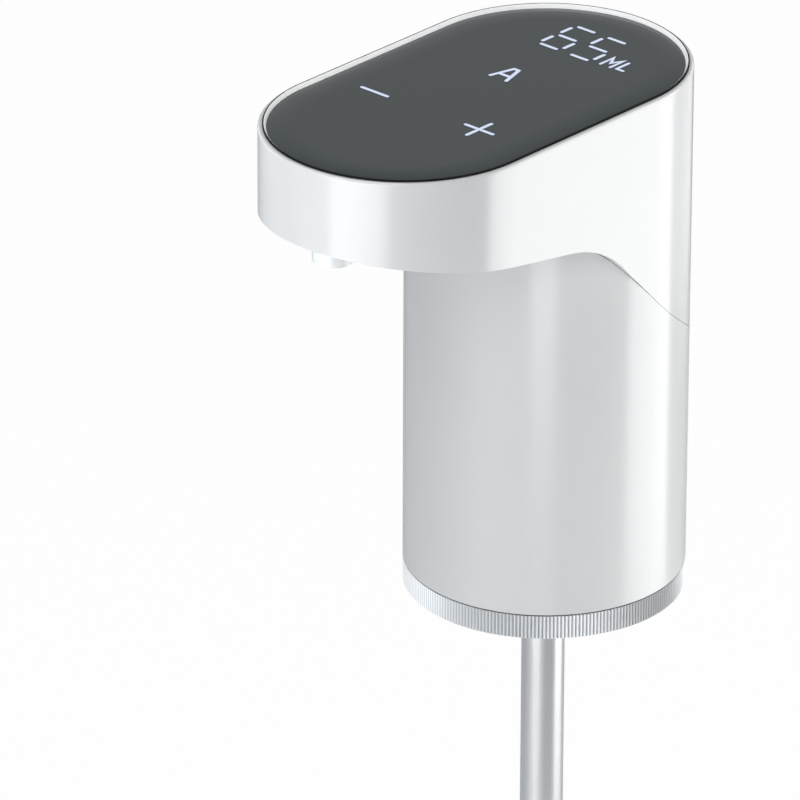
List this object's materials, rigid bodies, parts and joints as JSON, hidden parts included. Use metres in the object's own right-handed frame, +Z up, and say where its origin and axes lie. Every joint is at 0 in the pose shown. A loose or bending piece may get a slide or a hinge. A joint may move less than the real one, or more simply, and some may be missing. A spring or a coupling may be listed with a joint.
{
  "type": "wine aerator pourer",
  "caption": "Electric wine aerator pourer: white column with a long head, smoked touch panel, spout, knurled twist ring and telescoping intake tube; stands on a bottle's mouth.",
  "frame": {"origin": "centre of the seat for the bottle's lip, on the column's axis", "axes": "+Z up along the column, -Y towards the spout, +X to the side seen in the picture"},
  "size_m": [0.052, 0.0904, 0.2472],
  "materials": {
    "shell_white": "high gloss",
    "panel_smoke": "smoked, polished",
    "ring_silver": "satin with fine knurl",
    "stainless": "drawn tube",
    "silicone": "soft, matt",
    "seal_black": "soft, matt",
    "board_green": "solder mask",
    "inner_plastic": "moulded",
    "dark_plastic": "moulded",
    "spout_plastic": "moulded, polished",
    "cell_sleeve": "shrink sleeve",
    "plated_steel": "plated",
    "pump_grey": "moulded",
    "gear_plastic": "acetal",
    "led_chip": "moulded",
    "wire_red": "insulation"
  },
  "bodies": {
    "housing": {"hood": "shell_white", "column_shell": "shell_white", "touch_panel": "panel_smoke", "panel_tape": "seal_black", "control_board": "board_green", "digit_frame": "inner_plastic", "display_leds": "led_chip", "touch_pads": "seal_black", "board_screws": "plated_steel", "spout_nozzle": "spout_plastic", "spout_seal": "silicone", "aerator_insert": "stainless", "spout_screws": "plated_steel", "delivery_hose": "silicone", "inner_frame": "inner_plastic", "battery_cell": "cell_sleeve", "motor": "plated_steel", "shaft_seal": "seal_black", "pump_body": "pump_grey", "pump_cover": "pump_grey", "gear_axle": "plated_steel", "pump_screws": "plated_steel", "suction_coupling": "silicone", "tube_stem": "inner_plastic", "stopper": "silicone", "vent_valve": "silicone", "intake_tube": "stainless", "tube_gland": "dark_plastic", "gland_seal": "seal_black", "base_socket": "inner_plastic", "neck_seal": "silicone", "charge_board": "board_green", "usb_port": "plated_steel", "wire_leads": "wire_red", "frame_screws": "plated_steel", "hood_screws": "plated_steel"},
    "ring": {"knurled_ring": "ring_silver"},
    "drive": {"motor_shaft": "plated_steel", "drive_gear": "gear_plastic"},
    "driven": {"driven_gear": "gear_plastic"},
    "lower_tube": {"inner_tube": "stainless", "tube_strainer": "dark_plastic"}
  },
  "joints": [
    {"name": "ring_twist", "type": "hinge", "parent": "housing", "child": "ring", "pos_m": [0, 0, -0.02], "axis": [0, 0, 1], "range_deg": [0, 40]},
    {"name": "drive_gear_spin", "type": "hinge", "parent": "housing", "child": "drive", "pos_m": [-0.005, -0.0055, 0.0225], "axis": [0, 0, 1], "continuous": true},
    {"name": "driven_gear_spin", "type": "hinge", "parent": "housing", "child": "driven", "pos_m": [0.005, -0.0055, 0.0225], "axis": [0, 0, 1], "continuous": true},
    {"name": "tube_slide", "type": "slide", "parent": "housing", "child": "lower_tube", "axis": [0, 0, -1], "range_m": [0, 0.11]}
  ],
  "couplings": [
    {"joint": "driven_gear_spin", "follows": "drive_gear_spin", "ratio": -1}
  ]
}
